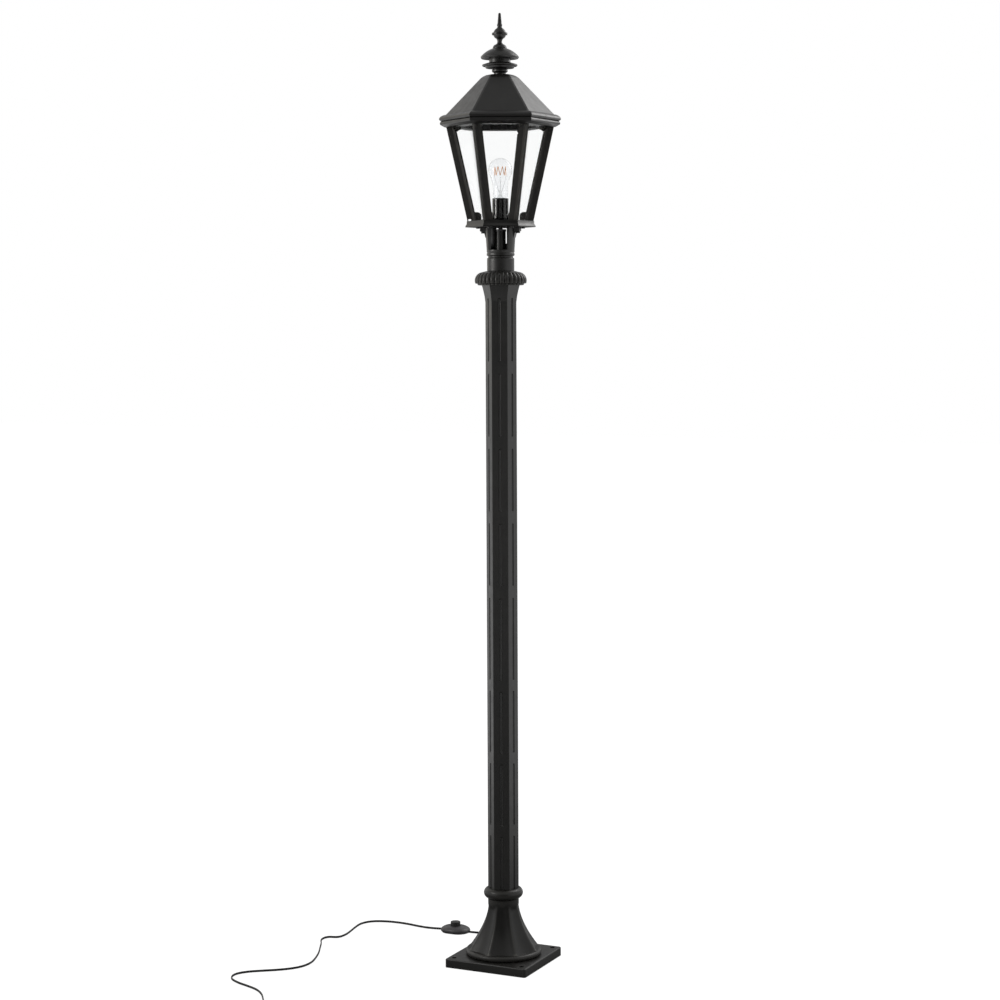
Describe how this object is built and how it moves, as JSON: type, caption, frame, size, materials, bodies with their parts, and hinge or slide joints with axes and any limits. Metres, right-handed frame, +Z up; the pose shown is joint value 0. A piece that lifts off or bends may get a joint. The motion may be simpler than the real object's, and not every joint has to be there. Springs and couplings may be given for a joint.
{
  "type": "lantern post light",
  "caption": "Tall black floor light: glazed hexagonal lantern with a vented roof on a fluted post and a cast base, with a clear filament lamp and a foot switch in its lead.",
  "frame": {"origin": "on the floor under the post's axis, in the middle of the base plate's underside", "axes": "+Z up along the post; X and Y along the sides of the square base plate, with the lead leaving the plate at +Y"},
  "size_m": [0.6305, 0.8549, 2.166],
  "materials": {
    "black_iron": "satin",
    "black_coat": "satin",
    "clear_glass": "gloss",
    "bulb_glass": "gloss",
    "plain_steel": "satin",
    "black_steel": "satin",
    "brass": "satin",
    "filament": "matte",
    "bakelite": "gloss",
    "black_plastic": "satin",
    "black_flex": "satin"
  },
  "bodies": {
    "post": {"bar_screws": "black_steel", "base_pedestal": "black_iron", "base_plate": "black_iron", "bottom_ring": "black_coat", "bridge_screws": "black_steel", "cage_top_ring": "black_coat", "coil_tie": "black_plastic", "cord_base_run": "black_flex", "cord_coil": "black_flex", "cord_floor_run": "black_flex", "cord_grommet": "black_plastic", "corner_bar_1": "black_coat", "corner_bar_2": "black_coat", "corner_bar_3": "black_coat", "corner_bar_4": "black_coat", "corner_bar_5": "black_coat", "corner_bar_6": "black_coat", "cradle_screws": "black_steel", "gadroon_collar": "black_coat", "glass_pane_1": "clear_glass", "glass_pane_2": "clear_glass", "glass_pane_3": "clear_glass", "glass_pane_4": "clear_glass", "glass_pane_5": "clear_glass", "glass_pane_6": "clear_glass", "holder_body": "bakelite", "holder_bridge": "black_steel", "holder_contact": "brass", "holder_foot": "bakelite", "holder_nipple": "black_steel", "holder_shell": "brass", "lamp_lead": "black_flex", "lantern_cradle": "black_coat", "nipple_nut": "black_steel", "pedestal_screws": "plain_steel", "plug_body": "black_plastic", "plug_pins": "brass", "post_coupler": "plain_steel", "post_lower": "black_coat", "post_upper": "black_coat", "switch_base": "black_plastic", "switch_cover": "black_plastic", "switch_spring": "plain_steel", "tie_nuts": "plain_steel", "tie_tube_lower": "plain_steel", "tie_tube_upper": "plain_steel", "wire_sleeve": "black_coat"},
    "roof": {"roof_shell": "black_coat", "vent_saucer": "black_coat", "vent_drum": "black_coat", "vent_cap": "black_coat", "finial": "black_coat", "finial_rod": "plain_steel", "finial_nut": "plain_steel"},
    "lamp_travel": {"lamp_contact": "brass"},
    "lamp": {"lamp_cap": "brass", "bulb_glass": "bulb_glass", "bulb_stem": "bulb_glass", "filament": "filament"},
    "switch_button": {"switch_button": "black_plastic"}
  },
  "joints": [
    {"name": "roof_lift", "type": "slide", "parent": "post", "child": "roof", "axis": [0, 0, 1], "range_m": [0, 0.15]},
    {"name": "lamp_rise", "type": "slide", "parent": "post", "child": "lamp_travel", "axis": [0, 0, 1], "range_m": [0, 0.0182]},
    {"name": "lamp_turn", "type": "hinge", "parent": "lamp_travel", "child": "lamp", "pos_m": [0, 0, 1.73], "axis": [0, 0, 1], "range_deg": [0, 1800]},
    {"name": "button_press", "type": "slide", "parent": "post", "child": "switch_button", "axis": [0, 0, -1], "range_m": [0, 0.003], "stiffness_N_per_m": 400, "springref_m": -0.004, "deforming": ["switch_spring"]}
  ],
  "couplings": [
    {"joint": "lamp_rise", "follows": "lamp_turn", "m_per_rad": 0.00057614}
  ]
}
